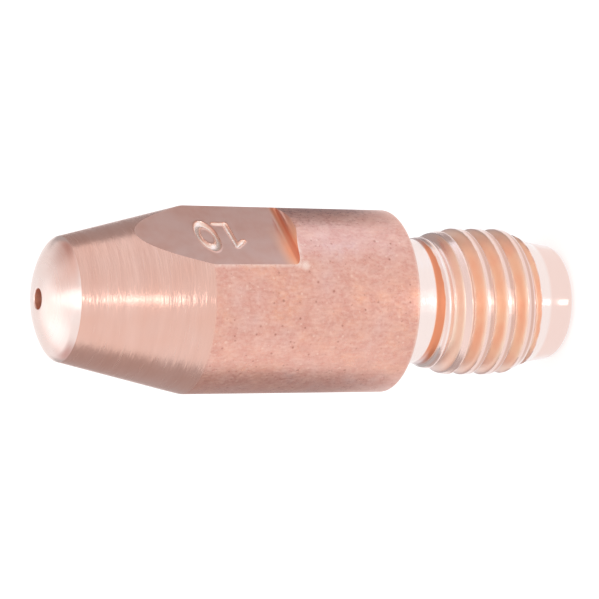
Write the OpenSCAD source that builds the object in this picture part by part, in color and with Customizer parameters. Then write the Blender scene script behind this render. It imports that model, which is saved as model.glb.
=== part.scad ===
// Contact tip for a wire-feed welding torch: one turned copper piece.
// It stands on its rear end face, with the nose up and the wrench flats facing +X and -X.

/* [Body] */
// Length from the rear end face to the top of the nose
overall_l = 30.4; // [26:0.1:40]
// Diameter of the round body
body_d = 10; // [9.4:0.1:12]
// Length behind the shoulder: neck, thread and pilot
shank_l = 10.3; // [9:0.1:13]
// Edge break around the shoulder
shoulder_break = 0.15; // [0.05:0.05:0.4]

/* [Nose] */
// Diameter of the sharp rim between the nose and the cone
rim_d = 6.7; // [5.6:0.1:7.4]
// Height from the rim to the top of the nose
rim_drop = 1.2; // [0.9:0.05:1.6]
// Radius of the dome around the wire hole
dome_r = 5.6; // [5.5:0.1:12]
// Radius of the rounded corner between the dome and the rim
corner_r = 1.2; // [0.8:0.1:2]
// Length of the cone from the rim to the full body
cone_l = 7; // [4:0.25:10]

/* [Wire bore] */
// Diameter of the wire bore
bore_d = 1.1; // [0.7:0.05:2]
// Diameter of the wire lead-in at the rear end face
lead_in_d = 3; // [2.4:0.1:4]
// Full angle of the wire lead-in
lead_in_angle = 60; // [40:5:90]

/* [Wrench flats] */
// Distance across the two wrench flats
flats_across = 8.35; // [7.6:0.05:9.2]
// Round length left between the shoulder and the middle of a flat's end wall
land_l = 6.8; // [4:0.05:9]
// Slant of a flat's end wall
end_wall_slant = 3; // [0:1:10]
// Fillet between a flat and its end wall
end_wall_fillet = 0.3; // [0.1:0.05:0.5]

/* [Thread] */
// Diameter over the thread's crests
thread_d = 8; // [7.6:0.05:8.2]
// Pitch of the right-hand thread
pitch = 1.25; // [1:0.05:1.5]
// Depth of the rounded groove below the crests
thread_depth = 0.64; // [0.4:0.02:0.8]
// Height of the first crest's middle on the +X side
crest_start = 2.09; // [1.3:0.01:2.5]
// Flat steps around one turn
thread_steps = 36; // [24:4:48]
// Flat steps along one pitch
pitch_steps = 10; // [8:2:12]

/* [Neck and pilot] */
// Diameter of the plain neck under the shoulder
neck_d = 6.8; // [6.4:0.05:7.2]
// Length of the plain neck
neck_l = 1.7; // [1.4:0.1:2.6]
// Fillet between the neck and the shoulder
neck_fillet = 0.2; // [0.1:0.05:0.4]
// Length over which the crests rise from the neck to their full height
rise_l = 2.2; // [1.4:0.1:3]
// Diameter of the plain pilot at the rear end
pilot_d = 6.4; // [5.6:0.1:6.5]
// Length of the pilot
pilot_l = 1.2; // [1:0.05:1.6]
// Length of the taper from the pilot to the full crests
taper_l = 1.8; // [1.4:0.1:2.8]
// Rounding around the rear end face
end_round = 0.6; // [0.1:0.05:0.8]

/* [Hidden] */
$fn = 96;
eps = 0.01;

body_r = body_d / 2;
rim_r = rim_d / 2;
bore_r = bore_d / 2;
lead_in_r = lead_in_d / 2;
lead_in_l = (lead_in_r - bore_r) / tan(lead_in_angle / 2);
neck_r = neck_d / 2;
crest_r = thread_d / 2;
pilot_r = pilot_d / 2;
flat_x = flats_across / 2;

// Heights above the rear end face
taper_z = pilot_l + taper_l;
shoulder_z = shank_l;
neck_z = shoulder_z - neck_l;
rise_z = neck_z - rise_l;
rim_z = overall_l - rim_drop;
cone_z = rim_z - cone_l;
flat_end_z = shoulder_z + land_l;

// A dome that is tighter than the ball through the rim and the top would miss the rim
least_dome_r = (rim_r ^ 2 + rim_drop ^ 2) / (2 * rim_drop);
nose_r = max(dome_r, 1.03 * least_dome_r);

// The nose's corner arc touches the dome inside at dome_touch and ends on the rim
dome_z = overall_l - nose_r;
rim_reach = norm([rim_r, rim_z - dome_z]);
corner_reach = nose_r - corner_r;
rim_lean = atan2(rim_r, rim_z - dome_z);
corner_swing = acos((rim_reach ^ 2 + corner_reach ^ 2 - corner_r ^ 2) / (2 * rim_reach * corner_reach));
touch_lean = rim_lean - corner_swing;
touch_way = [sin(touch_lean), cos(touch_lean)];
corner_centre = [0, dome_z] + corner_reach * touch_way;
dome_touch = [0, dome_z] + nose_r * touch_way;

// Rolled thread: a wave about the axis that fades into the neck and is cut off by the taper.
// Its end rings sit just inside the round faces that they join.
ring_inset = 0.02;
thread_rows = round((neck_z - pilot_l) * pitch_steps / pitch);
neck_ring_r = neck_r - ring_inset;
pilot_ring_r = pilot_r - ring_inset;

function wave_r(turn, z) =
    crest_r - thread_depth * (1 - cos(360 * (z - crest_start) / pitch - turn)) / 2;
function roll_share(z) = min(1, max(0, (neck_z - z) / rise_l));
function taper_r(z) = pilot_ring_r + (crest_r - pilot_ring_r) * (z - pilot_l) / taper_l;
function thread_r(turn, z) =
    min(taper_r(z), neck_ring_r + (wave_r(turn, z) - neck_ring_r) * roll_share(z));
function thread_ring(z) = [
    for (i = [0:thread_steps - 1])
    let (turn = 360 * i / thread_steps, r = thread_r(turn, z))
    [r * cos(turn), r * sin(turn), z]
];

module rolled_thread() {
    n = thread_steps;
    points = [
        for (k = [0:thread_rows])
        each thread_ring(pilot_l + (neck_z - pilot_l) * k / thread_rows)
    ];
    sides = [
        for (k = [0:thread_rows - 1], i = [0:n - 1])
        let (next = (i + 1) % n, low = k * n, high = low + n)
        each [[low + i, high + i, high + next], [low + i, high + next, low + next]]
    ];
    lower_end = [for (i = [0:n - 1]) i];
    upper_end = [for (i = [n - 1:-1:0]) thread_rows * n + i];
    polyhedron(points, concat(sides, [lower_end, upper_end]), convexity = 10);
}

// Half section of the pilot
module pilot_section() {
    polygon([[0, 0], [pilot_r - end_round, 0], [pilot_r, end_round], [pilot_r, pilot_l], [0, pilot_l]]);
    translate([pilot_r - end_round, end_round]) circle(end_round);
}

// Half section of the neck, the shoulder and the body
module body_section() {
    difference() {
        polygon([
            [0, neck_z],
            [neck_r, neck_z],
            [neck_r, shoulder_z - neck_fillet],
            [neck_r + neck_fillet, shoulder_z],
            [body_r - shoulder_break, shoulder_z],
            [body_r, shoulder_z + shoulder_break],
            [body_r, cone_z],
            [rim_r, rim_z],
            dome_touch,
            [0, dome_touch[1]]
        ]);
        translate([neck_r + neck_fillet, shoulder_z - neck_fillet]) circle(neck_fillet);
    }
}

// Dome and rounded corner of the nose
module nose_section() {
    intersection() {
        translate([0, dome_z]) circle(nose_r);
        translate([0, dome_touch[1] - eps]) square([dome_touch[0], nose_r]);
    }
    intersection() {
        translate(corner_centre) circle(corner_r);
        translate([0, rim_z]) square([rim_r, dome_touch[1] - rim_z]);
    }
}

// Wire bore and its lead-in cone
module bore_section() {
    translate([0, -eps]) square([bore_r, overall_l + 2 * eps]);
    polygon([[0, 0], [lead_in_r, 0], [bore_r, lead_in_l], [0, lead_in_l]]);
}

// Material taken off for one wrench flat, with a filleted end wall
module flat_cut() {
    depth = body_r - flat_x + eps;
    length = overall_l - flat_end_z + body_r;
    translate([flat_x, 0, flat_end_z])
        rotate([90 - end_wall_slant, 0, 0])
            linear_extrude(height = 2 * body_d, center = true) {
                translate([0, end_wall_fillet]) square([depth, length]);
                translate([end_wall_fillet, 0]) square([depth, length]);
                translate([end_wall_fillet, end_wall_fillet]) circle(end_wall_fillet);
            }
}

module contact_tip() {
    color([0.86, 0.62, 0.54])
        difference() {
            union() {
                rotate_extrude() pilot_section();
                rolled_thread();
                rotate_extrude() {
                    body_section();
                    nose_section();
                }
            }
            rotate_extrude() bore_section();
            flat_cut();
            rotate([0, 0, 180]) flat_cut();
        }
}

contact_tip();
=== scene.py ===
"""Looks of a welding contact tip: one turned and thread-rolled piece of copper, on its rear end."""

import math

import bpy
from mathutils import Matrix, Vector


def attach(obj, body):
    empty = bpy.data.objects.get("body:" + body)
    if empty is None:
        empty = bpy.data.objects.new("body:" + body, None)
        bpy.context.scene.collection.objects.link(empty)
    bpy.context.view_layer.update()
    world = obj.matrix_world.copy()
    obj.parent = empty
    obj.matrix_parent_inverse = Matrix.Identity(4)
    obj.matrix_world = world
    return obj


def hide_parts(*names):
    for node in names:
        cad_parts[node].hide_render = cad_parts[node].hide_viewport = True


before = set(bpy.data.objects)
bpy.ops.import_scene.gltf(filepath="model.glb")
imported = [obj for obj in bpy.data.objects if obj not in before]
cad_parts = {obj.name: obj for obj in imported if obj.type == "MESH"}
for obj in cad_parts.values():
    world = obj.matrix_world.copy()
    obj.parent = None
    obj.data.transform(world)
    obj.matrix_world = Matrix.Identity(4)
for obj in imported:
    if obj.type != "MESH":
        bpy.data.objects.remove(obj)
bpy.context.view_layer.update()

# Sizes in millimetres, heights from the rear end face. The tip is modelled at one unit to the millimetre.
MM = 0.001

# Slack for finding points and faces by their place
HAIR = 0.001
SLACK = 0.01
LEVEL_NORMAL = 0.9999

# Body, nose and bore
OVERALL_L = 30.4
SHOULDER_Z = 10.3
BODY_REAR_R = 4.95
BODY_FRONT_R = 5.05
SHOULDER_BREAK = 0.15
CONE_Z = 22.2
CONE_EDGE_BREAK = 0.06
RIM_Z = 29.2
RIM_R = 3.34
DOME_R = 5.6
CORNER_R = 1.2
BORE_R = 0.55
BORE_EDGE = 0.07
LEAD_IN_R = 1.5
LEAD_IN_L = 1.645

# Thread, neck and pilot
PITCH = 1.25
CREST_R = 4.01
CREST_SHARE = 0.14
THREAD_DEPTH = 0.66
CREST_START = 2.09
TAPER_Z = 3.3
TAPER_BLEND = 0.06
NECK_R = 3.4
NECK_Z = 8.65
RUN_OUT_L = 1.0
RUN_OUT_EASE = 0.3
RUN_OUT_SHIFT = 0.1
LAST_CREST_LOSS = 0.6
CREST_RISE_L = 2.2
GROOVE_GAP = 0.85
GROOVE_RISE_L = 0.5
NECK_FILLET = 0.2
PILOT_TOP_R = 3.34
PILOT_END_R = 3.17
PILOT_L = 1.7
END_ROUND = 0.6
THREAD_ROW = 0.045

# Marks that the shank's finish reads for its painted light and shade. Widths and distances about a crest's
# middle are in pitches.
PILOT_MARK = 0.2
CREST_MARK = 0.25
NECK_SIDE_MARK = 1.5
CREST_MARK_W = 0.11
SIDE_MARK_W = 0.09
NECK_SIDE_L = 0.6
NECK_SIDE_EASE = 0.12
NECK_EASE = 0.06
TAPER_MARK_L = 0.75
TAPER_MARK_EASE = 0.2
REAR_MARK_FRONT = 0.03
REAR_MARK_FRONT_EASE = 0.06
REAR_MARK_BACK = 0.2
REAR_MARK_BACK_EASE = 0.05
REAR_MARK_Z = 6.7
REAR_MARK_Z_EASE = 0.4

# Wrench flats and the plain size number stamped on one of them; the lip's swing and step are in degrees
FLAT_X = 4.175
FLAT_END_Z = 17.1
END_WALL_SLANT = math.radians(3)
END_WALL_FILLET = 0.25
LIP_FOOT = 0.46
LIP_RISE = 0.45
LIP_REACH = 0.62
LIP_SWING = 80
LIP_STEP = 10
LIP_ZONE = 1.2
FLAT_SKIN = 0.004
STAMP_DEPTH = 0.13
STAMP_HALF_W = 0.155
STAMP_RIM_W = 0.26
STAMP_RIM_H = 0.03

# Strokes of the number, as (y, z) on the flat: the 0, then the stem, the foot and the flag of the 1
ZERO_MIDDLE = (-0.15, 21.72)
ZERO_HALF_H = 1.1
ZERO_HALF_W = 0.485
ONE_STROKES = (
    ((1.05, 20.3), (-1.12, 20.32)),
    ((1.03, 20.45), (1.05, 20.95)),
    ((-1.12, 20.32), (-0.6, 19.8)),
)

# Painted highlights along the body's edges, and the painted orange glow beside a flat's end wall and the
# warm foot of the wall
FLAT_HIGHLIGHT_W = 0.13
SHOULDER_HIGHLIGHT_W = 0.2
WALL_EASE = 0.1
BURR_WAY = (0.83, -0.56)
BURR_DROP = 0.1
BURR_HIGHLIGHT_R = 0.36
BURR_HIGHLIGHT_CORE_R = 0.08
GLOW_FAR = 1.1
GLOW_NEAR = 0.3
GLOW_END_Y = 1.2
GLOW_FULL_Y = -1.4
FOOT_LOW = 0.005
FOOT_FULL = 0.05
FOOT_FADE = 0.36
FOOT_TOP = 0.44
BUMP_H = 0.02

SPIN_STEPS = 192
SMOOTH_ANGLE = math.radians(28)

# Camera: fitted to the photograph's outline, in its 599 pixel frame
PHOTO_PX = 599
FOCAL_PX = 4500
CAMERA_AZIMUTH = math.radians(34)
CAMERA_ELEVATION = math.radians(24.5)
CAMERA_ROLL = math.radians(0.36)
CAMERA_DISTANCE = 243.2
AIM_Z = 15.3
AIM_RIGHT_PX = -1.5
AIM_DOWN_PX = 1.0
SENSOR_MM = 36
CLIP_START = 10

# Directions: level towards the camera, level towards the picture's upper edge, and straight up
TO_CAMERA = Vector((math.sin(CAMERA_AZIMUTH), -math.cos(CAMERA_AZIMUTH), 0))
PICTURE_UP = Vector((math.cos(CAMERA_AZIMUTH), math.sin(CAMERA_AZIMUTH), 0))
UP = Vector((0, 0, 1))


def deselect():
    if bpy.context.object and bpy.context.object.mode != "OBJECT":
        bpy.ops.object.mode_set(mode="OBJECT")
    bpy.ops.object.select_all(action="DESELECT")


def make_active(piece):
    deselect()
    piece.select_set(True)
    bpy.context.view_layer.objects.active = piece


def edit(piece, select="SELECT"):
    make_active(piece)
    bpy.ops.object.mode_set(mode="EDIT")
    bpy.ops.mesh.select_all(action=select)


def apply_place(piece):
    make_active(piece)
    bpy.ops.object.transform_apply(location=True, rotation=True, scale=True)


def boolean(piece, tool, operation):
    """Cuts or joins tool into piece, and removes the tool."""
    make_active(piece)
    modifier = piece.modifiers.new("shape", "BOOLEAN")
    modifier.operation = operation
    modifier.solver = "MANIFOLD"
    modifier.object = tool
    bpy.ops.object.modifier_apply(modifier=modifier.name)
    bpy.data.objects.remove(tool)


# Turned outline

def arc(centre, radius, start, end, steps):
    """Points on an arc in the half section, as (radius, height), from angle start to end in degrees."""
    points = []
    for i in range(steps + 1):
        angle = math.radians(start + (end - start) * i / steps)
        points.append((centre[0] + radius * math.cos(angle), centre[1] + radius * math.sin(angle)))
    return points


def line(start, end, steps):
    """Points on a straight line from just after start up to end."""
    return [
        (start[0] + (end[0] - start[0]) * i / steps, start[1] + (end[1] - start[1]) * i / steps)
        for i in range(1, steps + 1)
    ]


def nose_outline():
    """Corner and dome of the nose, from the rim to the bore's edge."""
    dome_z = OVERALL_L - DOME_R
    reach = math.hypot(RIM_R, RIM_Z - dome_z)
    inner = DOME_R - CORNER_R
    lean = math.atan2(RIM_R, RIM_Z - dome_z)
    swing = math.acos((reach**2 + inner**2 - CORNER_R**2) / (2 * reach * inner))
    touch = 90 - math.degrees(lean - swing)
    corner = (inner * math.cos(math.radians(touch)), dome_z + inner * math.sin(math.radians(touch)))
    rim_angle = math.degrees(math.atan2(RIM_Z - corner[1], RIM_R - corner[0]))
    mouth = 90 - math.degrees(math.asin((BORE_R + BORE_EDGE) / DOME_R))
    points = arc(corner, CORNER_R, rim_angle, touch, 10)
    points += arc((0, dome_z), DOME_R, touch, mouth, 24)[1:]
    mouth_z = points[-1][1]
    points += arc((BORE_R + BORE_EDGE, mouth_z - BORE_EDGE), BORE_EDGE, 90, 180, 4)[1:]
    return points


def body_r(z):
    """The drawn body is a hair thicker at the cone than at the shoulder."""
    share = (z - SHOULDER_Z) / (CONE_Z - SHOULDER_Z)
    return BODY_REAR_R + (BODY_FRONT_R - BODY_REAR_R) * share


def turned_r(z):
    """Radius of the body or the cone at a height."""
    if z < CONE_Z:
        return body_r(z)
    return BODY_FRONT_R + (RIM_R - BODY_FRONT_R) * (z - CONE_Z) / (RIM_Z - CONE_Z)


def tip_outline():
    """Half section of the whole tip, once round from the lead-in's mouth to the bore."""
    points = [(LEAD_IN_R, 0)]
    points += arc((PILOT_END_R - END_ROUND, END_ROUND), END_ROUND, -90, 0, 10)
    points += line(points[-1], (PILOT_TOP_R, PILOT_L), 6)
    rows = round((NECK_Z - PILOT_L) / THREAD_ROW)
    points += line((NECK_R, PILOT_L), (NECK_R, NECK_Z), rows)
    points += line(points[-1], (NECK_R, SHOULDER_Z - NECK_FILLET), 5)
    points += arc((NECK_R + NECK_FILLET, SHOULDER_Z - NECK_FILLET), NECK_FILLET, 180, 90, 6)[1:]
    edge_r = BODY_REAR_R - SHOULDER_BREAK
    points += line(points[-1], (edge_r, SHOULDER_Z), 3)
    points += arc((edge_r, SHOULDER_Z + SHOULDER_BREAK), SHOULDER_BREAK, -90, 0, 5)[1:]
    points += line(points[-1], (BODY_FRONT_R, CONE_Z - CONE_EDGE_BREAK), 18)
    cone_step = (RIM_R - BODY_FRONT_R) / (RIM_Z - CONE_Z)
    points.append((BODY_FRONT_R + cone_step * CONE_EDGE_BREAK, CONE_Z + CONE_EDGE_BREAK))
    points += line(points[-1], (RIM_R, RIM_Z), 12)
    points += nose_outline()[1:]
    points += line(points[-1], (BORE_R, LEAD_IN_L), 12)
    return points


def draw_outline(name, points):
    """Draws a closed outline in the XZ plane point by point, and leaves all of it selected in edit mode."""
    deselect()
    bpy.ops.mesh.primitive_plane_add(size=1, location=(0, 0, 0))
    piece = bpy.context.object
    piece.name = name
    edit(piece)
    bpy.ops.mesh.merge(type="CENTER")
    here = (0, 0)
    for index, point in enumerate(points):
        step = (point[0] - here[0], 0, point[1] - here[1])
        if index == 0:
            bpy.ops.transform.translate(value=step)
        else:
            bpy.ops.mesh.extrude_region_move(TRANSFORM_OT_translate={"value": step})
        here = point
    bpy.ops.object.mode_set(mode="OBJECT")
    for vertex in piece.data.vertices:
        vertex.select = vertex.index in (0, len(points) - 1)
    bpy.ops.object.mode_set(mode="EDIT")
    bpy.ops.mesh.edge_face_add()
    bpy.ops.mesh.select_all(action="SELECT")
    return piece


def turn_outline(points):
    """Spins the half section about the axis."""
    tip = draw_outline("copper_tip", points)
    bpy.ops.mesh.spin(steps=SPIN_STEPS, angle=2 * math.pi, center=(0, 0, 0), axis=(0, 0, 1))
    bpy.ops.mesh.select_all(action="SELECT")
    bpy.ops.mesh.remove_doubles(threshold=HAIR)
    bpy.ops.mesh.normals_make_consistent(inside=False)
    bpy.ops.object.mode_set(mode="OBJECT")
    return tip


# Rolled thread

def clamp(value):
    return min(1.0, max(0.0, value))


def ease(value):
    """Smooth step from 0 to 1."""
    share = clamp(value)
    return share * share * (3 - 2 * share)


def run_out(z):
    """0 on the whole thread, 1 where its last crest runs out beside the neck."""
    return ease((z - NECK_Z + RUN_OUT_L) / RUN_OUT_EASE)


def crest_offset(turn, z):
    """Distance in front of the nearest crest's middle along the right-hand helix, -0.5 to 0.5 pitches."""
    phase = (z + RUN_OUT_SHIFT * run_out(z) - CREST_START) / PITCH - turn / (2 * math.pi)
    return phase - round(phase)


def crest_width(z):
    """The last crest is narrower than the others."""
    return 1 - LAST_CREST_LOSS * run_out(z)


def groove_share(z):
    """How far the groove is formed at a height: it runs out behind the last crest."""
    return clamp((NECK_Z - GROOVE_GAP - z) / GROOVE_RISE_L)


def taper_share(turn, z):
    """0 where the taper cuts the crests off, 1 where the thread is whole, and the radii of both."""
    taper = PILOT_TOP_R + (CREST_R - PILOT_TOP_R) * (z - PILOT_L) / (TAPER_Z - PILOT_L)
    top = CREST_SHARE * crest_width(z)
    share = max(0.0, (abs(crest_offset(turn, z)) - top) / (0.5 - top))
    above_neck = CREST_R - NECK_R - THREAD_DEPTH * (1 - math.cos(math.pi * share)) / 2
    formed = clamp((NECK_Z - z) / CREST_RISE_L) if above_neck > 0 else groove_share(z)
    rolled = NECK_R + above_neck * formed
    return clamp(0.5 + 0.5 * (taper - rolled) / TAPER_BLEND), taper, rolled


def thread_r(turn, z):
    """Radius of the thread, with a soft corner where the taper meets it."""
    share, taper, rolled = taper_share(turn, z)
    return taper + (rolled - taper) * share - TAPER_BLEND * share * (1 - share)


def on_shank_wall(place):
    """Whether a place in millimetres lies on the outer wall between the pilot and the neck."""
    outside = math.hypot(place.x, place.y) > (LEAD_IN_R + NECK_R) / 2
    return outside and PILOT_L + HAIR < place.z < NECK_Z - HAIR


def roll_thread(tip):
    """Presses the helical groove into the shank's wall."""
    for vertex in tip.data.vertices:
        place = vertex.co
        if on_shank_wall(place):
            push = thread_r(math.atan2(place.y, place.x), place.z) / math.hypot(place.x, place.y)
            vertex.co.x *= push
            vertex.co.y *= push


def past_taper(z):
    """0 on the taper's rear half and 1 in front of it, with a short rise between."""
    return ease((z - TAPER_Z + TAPER_MARK_L) / TAPER_MARK_EASE)


def mark_groove(tip):
    """Stores a mask for the shank's painted light, by how deep in the groove a point lies: 0 on the neck, 1
    at a root, and more beside the neck.
    """
    groove = tip.data.attributes.new("groove", "FLOAT", "POINT")
    for vertex in tip.data.vertices:
        place = vertex.co
        depth = PILOT_MARK if place.z < PILOT_L else 0.0
        if on_shank_wall(place):
            turn = math.atan2(place.y, place.x)
            width = crest_width(place.z)
            share = ease((abs(crest_offset(turn, place.z)) - CREST_MARK_W * width) / (SIDE_MARK_W * width))
            facing_neck = ease((place.z - NECK_Z + NECK_SIDE_L) / NECK_SIDE_EASE)
            formed = max(groove_share(place.z), NECK_SIDE_MARK * facing_neck)
            depth = CREST_MARK * (1 - share) + share * formed
            whole = taper_share(turn, place.z)[0]
            # Where the taper cuts the crests off, the mark is 0 on its rear half, painted pale as a
            # reflection, and as on a crest in front of that
            depth = depth * whole + CREST_MARK * (1 - whole) * past_taper(place.z)
            depth *= ease((NECK_Z - place.z) / NECK_EASE)
        groove.data[vertex.index].value = depth


def mark_crest_shade(tip):
    """Stores a mark that is 1 on each crest's rear side and fades towards its front side and the groove:
    the mask of the painted shade on the crests' rear sides.
    """
    crest = tip.data.attributes.new("crest_rear_shade", "FLOAT", "POINT")
    for vertex in tip.data.vertices:
        place = vertex.co
        mark = 0.0
        if on_shank_wall(place):
            offset = crest_offset(math.atan2(place.y, place.x), place.z)
            mark = ease((REAR_MARK_FRONT - offset) / REAR_MARK_FRONT_EASE)
            mark *= ease((offset + REAR_MARK_BACK) / REAR_MARK_BACK_EASE)
            mark *= past_taper(place.z) * ease((REAR_MARK_Z - place.z) / REAR_MARK_Z_EASE)
        crest.data[vertex.index].value = mark


# Wrench flats and stamp

def flat_cutter(side_angle):
    """Block that takes off the material of one flat; its end wall has a filleted foot and a rounded lip."""
    depth, width, length = 3.0, 14.0, 18.0
    points = arc((END_WALL_FILLET, END_WALL_FILLET), END_WALL_FILLET, 180, 270, 8)
    for degrees in range(0, LIP_SWING + LIP_STEP, LIP_STEP):
        swing = math.radians(degrees)
        points.append((LIP_FOOT + LIP_RISE * math.sin(swing), -LIP_REACH * (1 - math.cos(swing))))
    points += [(depth, points[-1][1]), (depth, length), (0, length)]
    cutter = draw_outline("flat_cutter", points)
    bpy.ops.mesh.edge_face_add()
    bpy.ops.mesh.extrude_region_move(TRANSFORM_OT_translate={"value": (0, width, 0)})
    bpy.ops.mesh.select_all(action="SELECT")
    bpy.ops.transform.translate(value=(0, -width / 2, 0))
    bpy.ops.mesh.normals_make_consistent(inside=False)
    bpy.ops.object.mode_set(mode="OBJECT")
    cutter.location = (FLAT_X, 0, FLAT_END_Z)
    cutter.rotation_euler.x = -END_WALL_SLANT
    apply_place(cutter)
    cutter.rotation_euler.z = side_angle
    apply_place(cutter)
    return cutter


def stamp_ring(middle, half_height, half_width, stroke, flatten, lift):
    """Oval stroke of the number, lying in the flat. Places on the flat are (y, z)."""
    deselect()
    bpy.ops.mesh.primitive_torus_add(
        location=(0, 0, 0),
        rotation=(0, math.pi / 2, 0),
        major_segments=48,
        minor_segments=16,
        major_radius=half_width,
        minor_radius=stroke,
    )
    ring = bpy.context.object
    apply_place(ring)
    ring.scale = (flatten, half_height / half_width, 1)
    ring.location = (FLAT_X + lift, middle[0], middle[1])
    apply_place(ring)
    return ring


def stamp_bar(start, end, stroke, flatten, lift):
    """Straight stroke of the number with round ends: a ball pulled out to a bar."""
    run = Vector((0, end[0] - start[0], end[1] - start[1]))
    deselect()
    bpy.ops.mesh.primitive_uv_sphere_add(segments=20, ring_count=12, radius=stroke, location=(0, 0, 0))
    bar = bpy.context.object
    edit(bar, "DESELECT")
    bpy.ops.object.mode_set(mode="OBJECT")
    for vertex in bar.data.vertices:
        vertex.select = vertex.co.z > HAIR
    bpy.ops.object.mode_set(mode="EDIT")
    bpy.ops.transform.translate(value=(0, 0, run.length))
    bpy.ops.object.mode_set(mode="OBJECT")
    bar.rotation_mode = "QUATERNION"
    bar.rotation_quaternion = run.to_track_quat("Z", "X")
    apply_place(bar)
    bar.scale = (flatten, 1, 1)
    bar.location = (FLAT_X + lift, start[0], start[1])
    apply_place(bar)
    return bar


def number_strokes(stroke, flatten, lift):
    """The plain number 10, read with the nose to the right; yields one stroke at a time."""
    yield stamp_ring(ZERO_MIDDLE, ZERO_HALF_H, ZERO_HALF_W, stroke, flatten, lift)
    for start, end in ONE_STROKES:
        yield stamp_bar(start, end, stroke, flatten, lift)


def cut_flats(tip):
    """Two milled flats; the number is stamped into the +X one, with a low rim around each stroke."""
    for side_angle in (0, math.pi):
        cutter = flat_cutter(side_angle)
        if side_angle == 0:
            rim_flatten = 2 * STAMP_RIM_H / STAMP_RIM_W
            for stroke in number_strokes(STAMP_RIM_W, rim_flatten, -STAMP_RIM_H):
                boolean(cutter, stroke, "DIFFERENCE")
            for stroke in number_strokes(STAMP_HALF_W, 1, STAMP_HALF_W - STAMP_DEPTH):
                boolean(cutter, stroke, "UNION")
        boolean(tip, cutter, "DIFFERENCE")


def is_level_flat(face):
    return abs(face.normal.x) > LEVEL_NORMAL and abs(abs(face.center.x) - FLAT_X) < 2 * HAIR


def on_rim(place):
    return abs(place.z - RIM_Z) < HAIR and math.hypot(place.x, place.y) > RIM_R - SLACK


def smooth_shading(tip):
    """Smooth walls, with a crisp rim and a crisp border around the two level flats."""
    make_active(tip)
    bpy.ops.object.shade_smooth_by_angle(angle=SMOOTH_ANGLE)
    level = set()
    for face in tip.data.polygons:
        if is_level_flat(face):
            level.update(face.edge_keys)
    for edge in tip.data.edges:
        ends = [tip.data.vertices[index].co for index in edge.vertices]
        if edge.key in level or all(on_rim(end) for end in ends):
            edge.use_edge_sharp = True


# Shader helpers

def linear(red, green, blue):
    """A colour as read off a screen, 0 to 255, in the linear values that a shader takes."""
    values = []
    for share in (red / 255, green / 255, blue / 255):
        values.append(share / 12.92 if share <= 0.04045 else ((share + 0.055) / 1.055) ** 2.4)
    return (*values, 1)


def add(tree, kind, x, y, wires=None, **settings):
    """A node with its settings; wires gives each named input a value or the socket that feeds it."""
    node = tree.nodes.new(kind)
    node.location = (x, y)
    for name, value in settings.items():
        setattr(node, name, value)
    for socket, value in (wires or {}).items():
        if isinstance(value, bpy.types.NodeSocket):
            tree.links.new(value, node.inputs[socket])
        else:
            node.inputs[socket].default_value = value
    return node


def spread(tree, x, y, value, low, high, to_low=0.0, to_high=1.0):
    """Maps a value from low to high onto to_low to to_high, and holds it there."""
    wires = {"Value": value, "From Min": low, "From Max": high, "To Min": to_low, "To Max": to_high}
    return add(tree, "ShaderNodeMapRange", x, y, wires).outputs[0]


def blend(tree, x, y, share, first, second):
    """Mixes two colours, which are a Mix node's inputs 6 and 7 and its output 2."""
    wires = {0: share, 6: first, 7: second}
    return add(tree, "ShaderNodeMix", x, y, wires, data_type="RGBA").outputs[2]


def tint(tree, x, y, colour, shade, mask, low, high, most):
    """Blends a shade into a colour, from none where mask is low up to the share most where it is high."""
    share = spread(tree, x - 150, y - 250, mask, low, high, 0, most)
    return blend(tree, x, y, share, colour, shade)


def calculate(tree, x, y, operation, first, second=0.0):
    return add(tree, "ShaderNodeMath", x, y, {0: first, 1: second}, operation=operation).outputs[0]


def new_group(name, inputs, output):
    """An empty shader node group with number inputs and one number output."""
    group = bpy.data.node_groups.new(name, "ShaderNodeTree")
    for socket, value in inputs.items():
        made = group.interface.new_socket(socket, in_out="INPUT", socket_type="NodeSocketFloat")
        made.default_value = value
    group.interface.new_socket(output, in_out="OUTPUT", socket_type="NodeSocketFloat")
    return group


def use(tree, group, x, y, **values):
    """Places a group in a material with its own values."""
    node = add(tree, "ShaderNodeGroup", x, y, node_tree=group)
    for socket, value in values.items():
        node.inputs[socket].default_value = value
    return node.outputs[0]


def metal_lines():
    """Noise drawn out into fine lines; Around and Along are its scales per millimetre."""
    group = new_group("metal_lines", {"Around": 1.0, "Along": 1.0}, "Lines")
    inside = add(group, "NodeGroupInput", -1000, 0)
    place = add(group, "ShaderNodeTexCoord", -1000, -200)
    around, along = inside.outputs["Around"], inside.outputs["Along"]
    scale = add(group, "ShaderNodeCombineXYZ", -800, 0, {0: around, 1: around, 2: along}).outputs[0]
    factors = {0: place.outputs["Object"], 1: scale}
    stretched = add(group, "ShaderNodeVectorMath", -600, 0, factors, operation="MULTIPLY")
    wires = {"Vector": stretched.outputs[0], "Scale": 1 / MM, "Detail": 3.0, "Roughness": 0.6}
    noise = add(group, "ShaderNodeTexNoise", -400, 0, wires)
    lines = spread(group, -200, 0, noise.outputs[0], 0.3, 0.7)
    add(group, "NodeGroupOutput", 0, 0, {0: lines})
    return group


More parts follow.
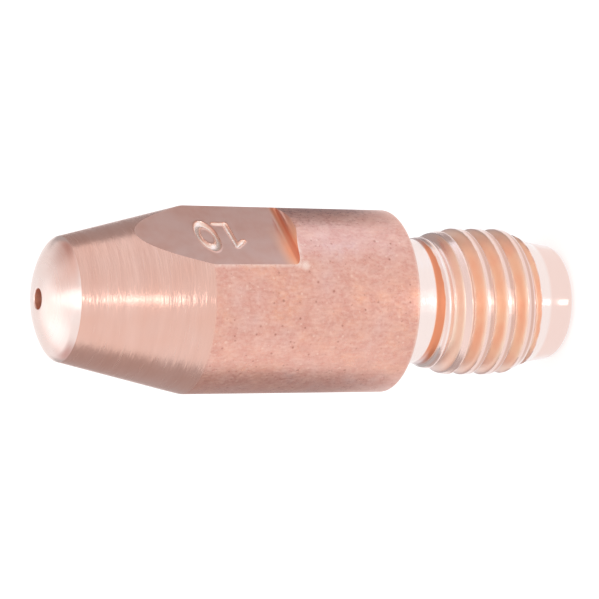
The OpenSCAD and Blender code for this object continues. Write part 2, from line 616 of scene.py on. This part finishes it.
def facing_rings():
    """Fine rings about the axis, left by a facing cut; Fineness is their scale per millimetre."""
    group = new_group("facing_rings", {"Fineness": 6.0}, "Rings")
    inside = add(group, "NodeGroupInput", -1200, 0)
    place = add(group, "ShaderNodeTexCoord", -1200, -200)
    factors = {0: place.outputs["Object"], 1: (1 / MM, 1 / MM, 0)}
    level = add(group, "ShaderNodeVectorMath", -1000, -200, factors, operation="MULTIPLY")
    radius = add(group, "ShaderNodeVectorMath", -800, -200, {0: level.outputs[0]}, operation="LENGTH")
    count = calculate(group, -600, 0, "MULTIPLY", radius.outputs["Value"], inside.outputs["Fineness"])
    wires = {"W": count, "Scale": 1.0, "Detail": 2.0}
    noise = add(group, "ShaderNodeTexNoise", -400, 0, wires, noise_dimensions="1D")
    rings = spread(group, -200, 0, noise.outputs[0], 0.3, 0.7)
    add(group, "NodeGroupOutput", 0, 0, {0: rings})
    return group


def smudges():
    """Soft cloudy patches; Scale is per millimetre."""
    group = new_group("smudges", {"Scale": 0.3}, "Patches")
    inside = add(group, "NodeGroupInput", -1000, 0)
    place = add(group, "ShaderNodeTexCoord", -1000, -200)
    size = calculate(group, -800, 0, "MULTIPLY", inside.outputs["Scale"], 1 / MM)
    wires = {"Vector": place.outputs["Object"], "Scale": size, "Detail": 2.5, "Roughness": 0.55}
    noise = add(group, "ShaderNodeTexNoise", -600, 0, wires)
    patches = spread(group, -350, 0, noise.outputs[0], 0.36, 0.64)
    add(group, "NodeGroupOutput", -100, 0, {0: patches})
    return group


def specks():
    """Scattered small dots, 1 inside a dot; Scale is cells per millimetre and Size is in cells."""
    group = new_group("specks", {"Scale": 2.3, "Size": 0.12}, "Dots")
    inside = add(group, "NodeGroupInput", -1200, 0)
    place = add(group, "ShaderNodeTexCoord", -1200, -200)
    size = calculate(group, -1000, 0, "MULTIPLY", inside.outputs["Scale"], 1 / MM)
    cells = add(group, "ShaderNodeTexVoronoi", -800, 0, {"Vector": place.outputs["Object"], "Scale": size})
    chance = add(group, "ShaderNodeSeparateColor", -600, -200, {0: cells.outputs["Color"]})
    wide = calculate(group, -600, 0, "MULTIPLY", inside.outputs["Size"], chance.outputs[0])
    reach = calculate(group, -400, 0, "DIVIDE", cells.outputs["Distance"], wide)
    dots = spread(group, -200, 0, reach, 0.6, 1.3, 1.0, 0.0)
    add(group, "NodeGroupOutput", 0, 0, {0: dots})
    return group


LINES = metal_lines()
RINGS = facing_rings()
SMUDGES = smudges()
SPECKS = specks()


def bare_copper(name):
    """A new all-metal material: its node tree and shader still need their colour and roughness."""
    material = bpy.data.materials.new(name)
    material.use_nodes = True
    shader = material.node_tree.nodes["Principled BSDF"]
    shader.inputs["Metallic"].default_value = 1
    return material, material.node_tree, shader


def finish_surface(tree, shader, colour, roughness, height, strength):
    """Wires a colour, a roughness and a bump into the shader; a height of 1 stands for BUMP_H."""
    wires = {"Height": height, "Strength": strength, "Distance": BUMP_H * MM}
    bump = add(tree, "ShaderNodeBump", -250, -400, wires)
    tree.links.new(colour, shader.inputs["Base Color"])
    tree.links.new(roughness, shader.inputs["Roughness"])
    tree.links.new(bump.outputs[0], shader.inputs["Normal"])


def polished_nose():
    """Bright nose with fine rings from its facing cut."""
    material, tree, shader = bare_copper("polished_nose")
    rings = use(tree, RINGS, -1100, 0, Fineness=7.0)
    patches = use(tree, SMUDGES, -1100, -200, Scale=0.5)
    colour = blend(tree, -700, 200, patches, linear(249, 230, 224), linear(245, 220, 212))
    roughness = spread(tree, -700, -150, rings, 0, 1, 0.22, 0.28)
    finish_surface(tree, shader, colour, roughness, rings, 0.02)
    return material


def turned_cone():
    """Cone with fine turning lines, and deeper ticks that break up its glints."""
    material, tree, shader = bare_copper("turned_cone")
    fine = use(tree, LINES, -1400, 0, Around=0.4, Along=9.0)
    broad = use(tree, LINES, -1400, -200, Around=0.1, Along=0.9)
    patches = use(tree, SMUDGES, -1400, -400, Scale=0.35)
    base = blend(tree, -1100, 200, broad, linear(229, 184, 170), linear(236, 195, 182))
    warm = tint(tree, -900, 200, base, linear(232, 178, 158), patches, 0, 1, 0.4)
    colour = tint(tree, -700, 200, warm, linear(243, 212, 201), fine, 0.3, 1, 0.07)
    roughness = spread(tree, -700, -150, fine, 0, 1, 0.2, 0.28)
    grain = use(tree, LINES, -1400, -600, Around=1.5, Along=13.0)
    ticks = use(tree, LINES, -1400, -800, Around=0.3, Along=3.0)
    deep = calculate(tree, -1100, -700, "MULTIPLY", ticks, 8.0)
    scratched = calculate(tree, -900, -500, "ADD", fine, grain)
    relief = calculate(tree, -700, -500, "ADD", scratched, deep)
    finish_surface(tree, shader, colour, roughness, relief, 0.17)
    return material


def drawn_body():
    """Drawn skin with lines, mottle, pits and glints, and painted highlights along its edges."""
    material, tree, shader = bare_copper("drawn_body")
    grain = use(tree, LINES, -1900, 0, Around=6.0, Along=1.2)
    skin = use(tree, LINES, -1900, -200, Around=6.0, Along=4.5)
    patches = use(tree, SMUDGES, -1900, -400, Scale=0.3)
    mottle = use(tree, SMUDGES, -1900, -600, Scale=1.4)
    pits = use(tree, SPECKS, -1900, -800, Scale=2.5, Size=0.2)
    glints = use(tree, SPECKS, -1900, -1400, Scale=2.9, Size=0.22)
    base = blend(tree, -1500, 200, patches, linear(229, 184, 175), linear(238, 178, 154))
    mixed = tint(tree, -1300, 200, base, linear(222, 162, 148), mottle, 0, 1, 0.9)
    lined = tint(tree, -1100, 200, mixed, linear(210, 156, 142), grain, 0.3, 1, 0.5)
    grained = tint(tree, -900, 200, lined, linear(249, 209, 195), skin, 0.3, 1, 0.45)
    crowding = spread(tree, -1500, -800, mottle, 0.2, 0.8, 0.3, 1)
    clustered = calculate(tree, -1300, -800, "MULTIPLY", pits, crowding)
    pitted = blend(tree, -900, 400, clustered, grained, linear(186, 130, 117))
    flecked = tint(tree, -700, 400, pitted, linear(250, 212, 196), glints, 0, 1, 0.5)
    place = add(tree, "ShaderNodeTexCoord", -1900, -1000)
    axes = add(tree, "ShaderNodeSeparateXYZ", -1700, -1000, {0: place.outputs["Object"]})
    height = axes.outputs["Z"]
    side = calculate(tree, -1500, -1000, "ABSOLUTE", axes.outputs["X"])
    # Painted highlights along the flats' edges above the end wall and along the shoulder's edge, and a
    # painted highlight spot at the burr by a wall's corner, streaked by the skin lines
    beside_flat = spread(tree, -1300, -1000, side, (FLAT_X - FLAT_HIGHLIGHT_W) * MM, FLAT_X * MM, 0, 0.7)
    wall_low, wall_high = (FLAT_END_Z - WALL_EASE) * MM, (FLAT_END_Z + WALL_EASE) * MM
    above_wall = spread(tree, -1300, -1200, height, wall_low, wall_high)
    edge_highlight = calculate(tree, -1100, -1000, "MULTIPLY", beside_flat, above_wall)
    highlight_streaks = spread(tree, -1100, -1200, skin, 0, 0.8, 0.35, 1)
    uneven = calculate(tree, -900, -1000, "MULTIPLY", edge_highlight, highlight_streaks)
    highlight_top = (SHOULDER_Z + SHOULDER_HIGHLIGHT_W) * MM
    shoulder_highlight = spread(tree, -900, -1200, height, highlight_top, SHOULDER_Z * MM, 0, 0.7)
    wall_r = turned_r(FLAT_END_Z) * MM
    corner = (wall_r * BURR_WAY[0], wall_r * BURR_WAY[1], (FLAT_END_Z - BURR_DROP) * MM)
    ends = {0: place.outputs["Object"], 1: corner}
    away = add(tree, "ShaderNodeVectorMath", -1500, -1600, ends, operation="DISTANCE").outputs["Value"]
    burr_highlight = spread(tree, -1100, -1600, away, BURR_HIGHLIGHT_R * MM, BURR_HIGHLIGHT_CORE_R * MM, 0, 0.75)
    edges = calculate(tree, -700, -1000, "MAXIMUM", uneven, shoulder_highlight)
    painted_highlight = calculate(tree, -600, -1000, "MAXIMUM", edges, burr_highlight)
    colour = blend(tree, -500, 200, painted_highlight, flecked, linear(252, 226, 214))
    roughness = spread(tree, -700, -150, skin, 0, 1, 0.25, 0.4)
    relief = calculate(tree, -700, -400, "SUBTRACT", skin, pits)
    finish_surface(tree, shader, colour, roughness, relief, 0.22)
    return material


def milled_flat():
    """Milled flat with a painted orange glow beside its end wall and a warm foot on the wall."""
    material, tree, shader = bare_copper("milled_flat")
    skin = use(tree, LINES, -1500, 0, Around=3.0, Along=5.0)
    patches = use(tree, SMUDGES, -1500, -200, Scale=0.6)
    base = blend(tree, -1100, 200, patches, linear(231, 189, 176), linear(227, 177, 161))
    worn = tint(tree, -900, 200, base, linear(234, 198, 187), skin, 0.3, 1, 0.2)
    place = add(tree, "ShaderNodeTexCoord", -1700, -500)
    axes = add(tree, "ShaderNodeSeparateXYZ", -1500, -500, {0: place.outputs["Object"]})
    # Painted orange glow on the flat beside its end wall, stronger towards one edge; the flat is also
    # rougher there
    glow_top, glow_low = (FLAT_END_Z + GLOW_FAR) * MM, (FLAT_END_Z + GLOW_NEAR) * MM
    near_wall = spread(tree, -1300, -500, axes.outputs["Z"], glow_top, glow_low)
    near_edge = spread(tree, -1300, -700, axes.outputs["Y"], GLOW_END_Y * MM, GLOW_FULL_Y * MM)
    wall_glow = calculate(tree, -1100, -500, "MULTIPLY", near_wall, near_edge)
    glow_tinted = blend(tree, -700, 400, wall_glow, worn, linear(255, 203, 170))
    side = calculate(tree, -1300, -900, "ABSOLUTE", axes.outputs["X"])
    rise = spread(tree, -1100, -900, side, (FLAT_X + FOOT_LOW) * MM, (FLAT_X + FOOT_FULL) * MM)
    lip = spread(tree, -1100, -1100, side, (FLAT_X + FOOT_FADE) * MM, (FLAT_X + FOOT_TOP) * MM, 1, 0)
    foot = calculate(tree, -900, -900, "MULTIPLY", rise, lip)
    colour = blend(tree, -500, 400, foot, glow_tinted, linear(240, 174, 144))
    even = spread(tree, -900, -150, skin, 0, 1, 0.28, 0.36)
    dull = spread(tree, -700, -300, wall_glow, 0, 1, 0.2, 0.75)
    roughness = calculate(tree, -500, -150, "MAXIMUM", even, dull)
    finish_surface(tree, shader, colour, roughness, skin, 0.08)
    return material


def rolled_shank():
    """Thread with painted light: warm bounce light painted in the grooves and deep orange beside the neck,
    paler crests with painted shade on their rear sides, and painted pale reflections towards grazing angles
    and where the wall turns away.
    """
    material, tree, shader = bare_copper("rolled_shank")
    groove = add(tree, "ShaderNodeAttribute", -1400, 200, attribute_name="groove").outputs["Fac"]
    patches = use(tree, SMUDGES, -1400, -100, Scale=0.7)
    skin = use(tree, LINES, -1400, -300, Around=1.2, Along=6.0)
    # Painted light by the groove mark: pale on the neck and crests, warm bounce light painted in the roots,
    # deep orange painted beside the neck
    crest = tint(tree, -1100, 300, linear(250, 233, 228), linear(245, 214, 205), groove, 0, CREST_MARK, 1)
    root_bounce = blend(tree, -1100, 0, patches, linear(255, 226, 206), linear(254, 216, 195))
    rolled = tint(tree, -900, 200, crest, root_bounce, groove, 0.3, 0.9, 1)
    neck_side_bounce = tint(tree, -700, 200, rolled, linear(233, 150, 114), groove, 1.05, 1.45, 1)
    # Painted shade on each crest's rear side
    rear = add(tree, "ShaderNodeAttribute", -900, 400, attribute_name="crest_rear_shade").outputs["Fac"]
    rear_shaded = tint(tree, -500, 400, neck_side_bounce, linear(217, 175, 160), rear, 0, 1, 0.85)
    # Painted pale reflections: a sheen towards grazing angles, and paler still where the groove's walls
    # turn away
    glance = add(tree, "ShaderNodeLayerWeight", -900, 600, {"Blend": 0.5}).outputs["Facing"]
    grazing_sheen = tint(tree, -350, 400, rear_shaded, linear(255, 246, 246), glance, 0.68, 0.93, 0.9)
    in_groove = spread(tree, -700, 800, groove, 0.3, 0.6)
    turned_away = spread(tree, -700, 1000, glance, 0.42, 0.75, 0, 0.85)
    turned_away_reflection = calculate(tree, -500, 800, "MULTIPLY", in_groove, turned_away)
    colour = blend(tree, -200, 400, turned_away_reflection, grazing_sheen, linear(240, 222, 222))
    dents = use(tree, SMUDGES, -1400, -500, Scale=1.8)
    deep = calculate(tree, -1100, -400, "MULTIPLY", dents, 1.6)
    ripple = calculate(tree, -900, -400, "ADD", deep, skin)
    even = spread(tree, -900, -150, skin, 0, 1, 0.16, 0.27)
    dull = spread(tree, -700, -300, groove, 0.4, 0.9, 0.16, 0.42)
    roughness = calculate(tree, -500, -150, "MAXIMUM", even, dull)
    finish_surface(tree, shader, colour, roughness, ripple, 0.12)
    return material


def struck_number():
    """Hollows of the stamped strokes, painted bright as their highlights."""
    material, tree, shader = bare_copper("struck_number")
    skin = use(tree, LINES, -1100, 0, Around=5.0, Along=5.0)
    # Painted highlight: the strokes' pale colour stands in for light caught by their walls
    colour = blend(tree, -700, 200, skin, linear(253, 234, 224), linear(248, 214, 198))
    roughness = spread(tree, -700, -150, skin, 0, 1, 0.2, 0.32)
    finish_surface(tree, shader, colour, roughness, skin, 0.15)
    return material


def shaded_bore():
    """Dull wall of the wire bore, painted darker as shade inside the hole."""
    material, tree, shader = bare_copper("shaded_bore")
    patches = use(tree, SMUDGES, -900, 0, Scale=1.5)
    # Painted shade: a darker colour inside the bore
    colour = blend(tree, -700, 200, patches, linear(233, 180, 156), linear(216, 158, 134))
    roughness = spread(tree, -700, -150, patches, 0, 1, 0.45, 0.6)
    finish_surface(tree, shader, colour, roughness, patches, 0.1)
    return material


FINISHES = [
    polished_nose(),
    turned_cone(),
    drawn_body(),
    milled_flat(),
    rolled_shank(),
    shaded_bore(),
    struck_number(),
]
NOSE, CONE, BODY, FLAT, SHANK, BORE, STAMP = range(len(FINISHES))


def zone_of(face):
    """Which finish a face has, by its place."""
    place = face.center
    radius = math.hypot(place.x, place.y)
    if radius < BORE_R + SLACK:
        return BORE
    if is_level_flat(face):
        return FLAT
    if place.z > FLAT_END_Z - LIP_ZONE and abs(place.x) > FLAT_X - STAMP_DEPTH - SLACK:
        if radius < turned_r(place.z) - 2 * SLACK:
            return STAMP if 0 < place.x < FLAT_X - FLAT_SKIN else FLAT
    if place.z > RIM_Z:
        return NOSE
    if place.z > CONE_Z:
        return CONE
    if place.z > SHOULDER_Z - HAIR:
        return BODY
    return SHANK


# Tip

tip = turn_outline(tip_outline())
roll_thread(tip)
for finish in FINISHES:
    tip.data.materials.append(finish)
cut_flats(tip)
for face in tip.data.polygons:
    face.material_index = zone_of(face)
mark_groove(tip)
mark_crest_shade(tip)
smooth_shading(tip)
tip.scale = (MM, MM, MM)
apply_place(tip)
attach(tip, "root")
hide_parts("contact_tip")


# Floor, light and camera

FLOOR_W = 2000
FLOOR_GLOW = 0.4
WHITE = (1, 1, 1, 1)
BLACK = (0, 0, 0, 1)
FLOOR_GREY = (0.8, 0.8, 0.8, 1)
WARM_GREY = (1, 0.93, 0.93, 1)
COOL_GREY = (1, 0.95, 1.02, 1)
COOL_WHITE = (1.08, 1.23, 1.4, 1)


def pale_floor():
    """White floor that fills the view and keeps the tip's soft shadow; metal mirrors it as plain white."""
    deselect()
    bpy.ops.mesh.primitive_plane_add(size=FLOOR_W * MM, location=(0, 0, 0))
    floor = bpy.context.object
    floor.name = "floor"
    material = bpy.data.materials.new("pale_floor")
    material.use_nodes = True
    tree = material.node_tree
    shader = tree.nodes["Principled BSDF"]
    shader.inputs["Roughness"].default_value = 0.9
    shader.inputs["Specular IOR Level"].default_value = 0
    shader.inputs["Emission Color"].default_value = WHITE
    path = add(tree, "ShaderNodeLightPath", -900, 0)
    glossy, clear = path.outputs["Is Glossy Ray"], path.outputs["Is Transmission Ray"]
    mirrored = calculate(tree, -700, 0, "MAXIMUM", glossy, clear)
    seen = calculate(tree, -700, -200, "MULTIPLY", path.outputs["Is Camera Ray"], FLOOR_GLOW)
    glow = calculate(tree, -500, -100, "MAXIMUM", seen, mirrored)
    colour = blend(tree, -500, 200, mirrored, FLOOR_GREY, BLACK)
    tree.links.new(colour, shader.inputs["Base Color"])
    tree.links.new(glow, shader.inputs["Emission Strength"])
    floor.data.materials.append(material)


def studio_card(name, middle, across, upward, width, height, brightness, far_width=None, shade=WHITE):
    """Card that only the metal's reflections show; far_width is its far edge's, where it is a wedge."""
    deselect()
    bpy.ops.mesh.primitive_plane_add(size=1.0, location=(0, 0, 0))
    card = bpy.context.object
    card.name = name
    for vertex in card.data.vertices:
        wide = far_width if far_width and vertex.co.y > 0 else width
        vertex.co = (middle + across * vertex.co.x * wide + upward * vertex.co.y * height) * MM
    material = bpy.data.materials.new(name)
    material.use_nodes = True
    shader = material.node_tree.nodes["Principled BSDF"]
    shader.inputs["Base Color"].default_value = BLACK
    shader.inputs["Specular IOR Level"].default_value = 0
    shader.inputs["Emission Color"].default_value = shade
    shader.inputs["Emission Strength"].default_value = brightness
    card.data.materials.append(material)
    card.visible_camera = False
    card.visible_diffuse = False
    card.visible_transmission = False
    card.visible_shadow = False


def bearing(angle):
    """Level direction, in degrees from the camera's and positive towards the picture's upper edge."""
    turn = math.radians(angle)
    return TO_CAMERA * math.cos(turn) + PICTURE_UP * math.sin(turn)


def spanned(front, rear):
    """Middle direction of two bearings, the direction across it, and their width per distance."""
    away = bearing((front + rear) / 2)
    return away, Vector((-away.y, away.x, 0)), 2 * math.tan(math.radians(abs(rear - front) / 2))


def floor_paper(name, front, rear, near, far, brightness, shade, lift=0.05):
    """Paper just above the floor between two bearings, from near to far."""
    away, across, slope = spanned(front, rear)
    middle = away * (near + far) / 2 + UP * lift
    studio_card(name, middle, across, away, near * slope, far - near, brightness, far * slope, shade)


def standing_card(name, front, rear, distance, low, high, brightness, shade):
    """Upright card between two bearings, from height low to high."""
    away, across, slope = spanned(front, rear)
    middle = away * distance + UP * (low + high) / 2
    studio_card(name, middle, across, UP, distance * slope, high - low, brightness, None, shade)


def floor_line(name, near, far, near_width, far_width, brightness, lift=0.1):
    """Narrow bright paper just above the floor, straight towards the camera."""
    middle = TO_CAMERA * (near + far) / 2 + UP * lift
    studio_card(name, middle, PICTURE_UP, TO_CAMERA, near_width, far - near, brightness, far_width)


def pointing(tree, x, y, way, direction):
    """How far a ray's way points in a direction, -1 to 1."""
    wires = {0: way, 1: tuple(direction)}
    return add(tree, "ShaderNodeVectorMath", x, y, wires, operation="DOT_PRODUCT").outputs["Value"]


def sky_patch(tree, x, colour, way, angle, elevation, outer, inner, shade):
    """Blends a soft round patch into the sky; its bearing, elevation and two radii are in degrees."""
    tilt = math.radians(elevation)
    middle = bearing(angle) * math.cos(tilt) + UP * math.sin(tilt)
    nearness = pointing(tree, x, -200, way, middle)
    edge, core = math.cos(math.radians(outer)), math.cos(math.radians(inner))
    share = spread(tree, x + 200, -200, nearness, edge, core)
    return blend(tree, x + 400, 0, share, colour, shade)


def studio_cards():
    """Papers and cards at both sides of the tip, bright ones towards the camera and a wedge over the nose.

    Bearings are in degrees, and distances, heights and widths in millimetres.
    """
    floor_paper("upper_paper", 103, 126, 26, 75, 0.43, WARM_GREY)
    floor_paper("far_paper", 126, 160, 26, 75, 0.28, COOL_GREY)
    standing_card("upper_card", 103, 160, 75, 0, 50, 0.42, WARM_GREY)
    floor_paper("cool_paper", 58, 103, 26, 75, 1.0, COOL_WHITE)
    floor_paper("low_paper", -50, -92, 26, 90, 1.1, WHITE)
    floor_paper("lower_paper", -92, -160, 26, 160, 0.5, WARM_GREY)
    standing_card("lower_card", -83, -160, 160, 0, 52, 0.48, WARM_GREY)
    floor_line("pilot_line", 3.5, 4.3, 0.3, 0.4, 2.4)
    floor_line("thread_glow", 8.5, 20.2, 4.4, 12.6, 1.4)
    floor_line("thread_line", 8.5, 21.4, 1.0, 2.9, 2.4, 0.2)
    standing_card("cone_line", -1.7, 1.7, 16, 25.2, 29.7, 5.2, WHITE)
    standing_card("crest_light", -17, 17, 200, 110, 170, 2.4, WHITE)
    overhead = UP * 10 - TO_CAMERA * 26
    nose_middle = TO_CAMERA * 3 + UP * 39
    studio_card(
        "nose_wedge",
        nose_middle,
        PICTURE_UP,
        overhead.normalized(),
        width=7.0,
        height=overhead.length,
        brightness=1.5,
        far_width=0.6,
    )


def studio_sky():
    """Even white light all round; only reflections show the sky's grey side and its soft patches."""
    world = bpy.data.worlds.new("studio")
    world.use_nodes = True
    tree = world.node_tree
    background = tree.nodes["Background"]
    way = add(tree, "ShaderNodeTexCoord", -2400, 0).outputs["Generated"]
    upper = spread(tree, -2000, 0, pointing(tree, -2200, 0, way, PICTURE_UP), -0.8, 0.8)
    sky = blend(tree, -1800, 0, upper, WHITE, (0.87, 0.85, 0.85, 1))
    sky = sky_patch(tree, -1600, sky, way, 100, 50, 45, 10, (0.8, 0.58, 0.52, 1))
    sky = sky_patch(tree, -1100, sky, way, 125, 28, 29, 4, (0.46, 0.27, 0.23, 1))
    sky = sky_patch(tree, -600, sky, way, -122, 18, 34, 10, (0.6, 0.4, 0.38, 1))
    sky = sky_patch(tree, -100, sky, way, -158, 48, 27, 6, (1.35, 1.35, 1.35, 1))
    path = add(tree, "ShaderNodeLightPath", 300, 300)
    light = blend(tree, 500, 0, path.outputs["Is Glossy Ray"], WHITE, sky)
    tree.links.new(light, background.inputs["Color"])
    bpy.context.scene.world = world


def photo_camera():
    """Camera at the photograph's viewing angle; the tip's axis runs across the picture."""
    tilt = CAMERA_ELEVATION
    back = TO_CAMERA * math.cos(tilt) + UP * math.sin(tilt)
    level_right = TO_CAMERA * math.sin(tilt) - UP * math.cos(tilt)
    right = level_right * math.cos(CAMERA_ROLL) + PICTURE_UP * math.sin(CAMERA_ROLL)
    up = PICTURE_UP * math.cos(CAMERA_ROLL) - level_right * math.sin(CAMERA_ROLL)
    pixel = CAMERA_DISTANCE / FOCAL_PX
    place = UP * AIM_Z + back * CAMERA_DISTANCE
    place += up * AIM_DOWN_PX * pixel - right * AIM_RIGHT_PX * pixel
    data = bpy.data.cameras.new("photo_camera")
    data.sensor_width = SENSOR_MM
    data.lens = SENSOR_MM * FOCAL_PX / PHOTO_PX
    data.clip_start = CLIP_START * MM
    camera = bpy.data.objects.new("photo_camera", data)
    bpy.context.scene.collection.objects.link(camera)
    turn = Matrix((right, up, back)).transposed().to_4x4()
    camera.matrix_world = Matrix.Translation(place * MM) @ turn
    bpy.context.scene.camera = camera


pale_floor()
studio_cards()
studio_sky()
photo_camera()
bpy.context.scene.view_settings.view_transform = "Standard"
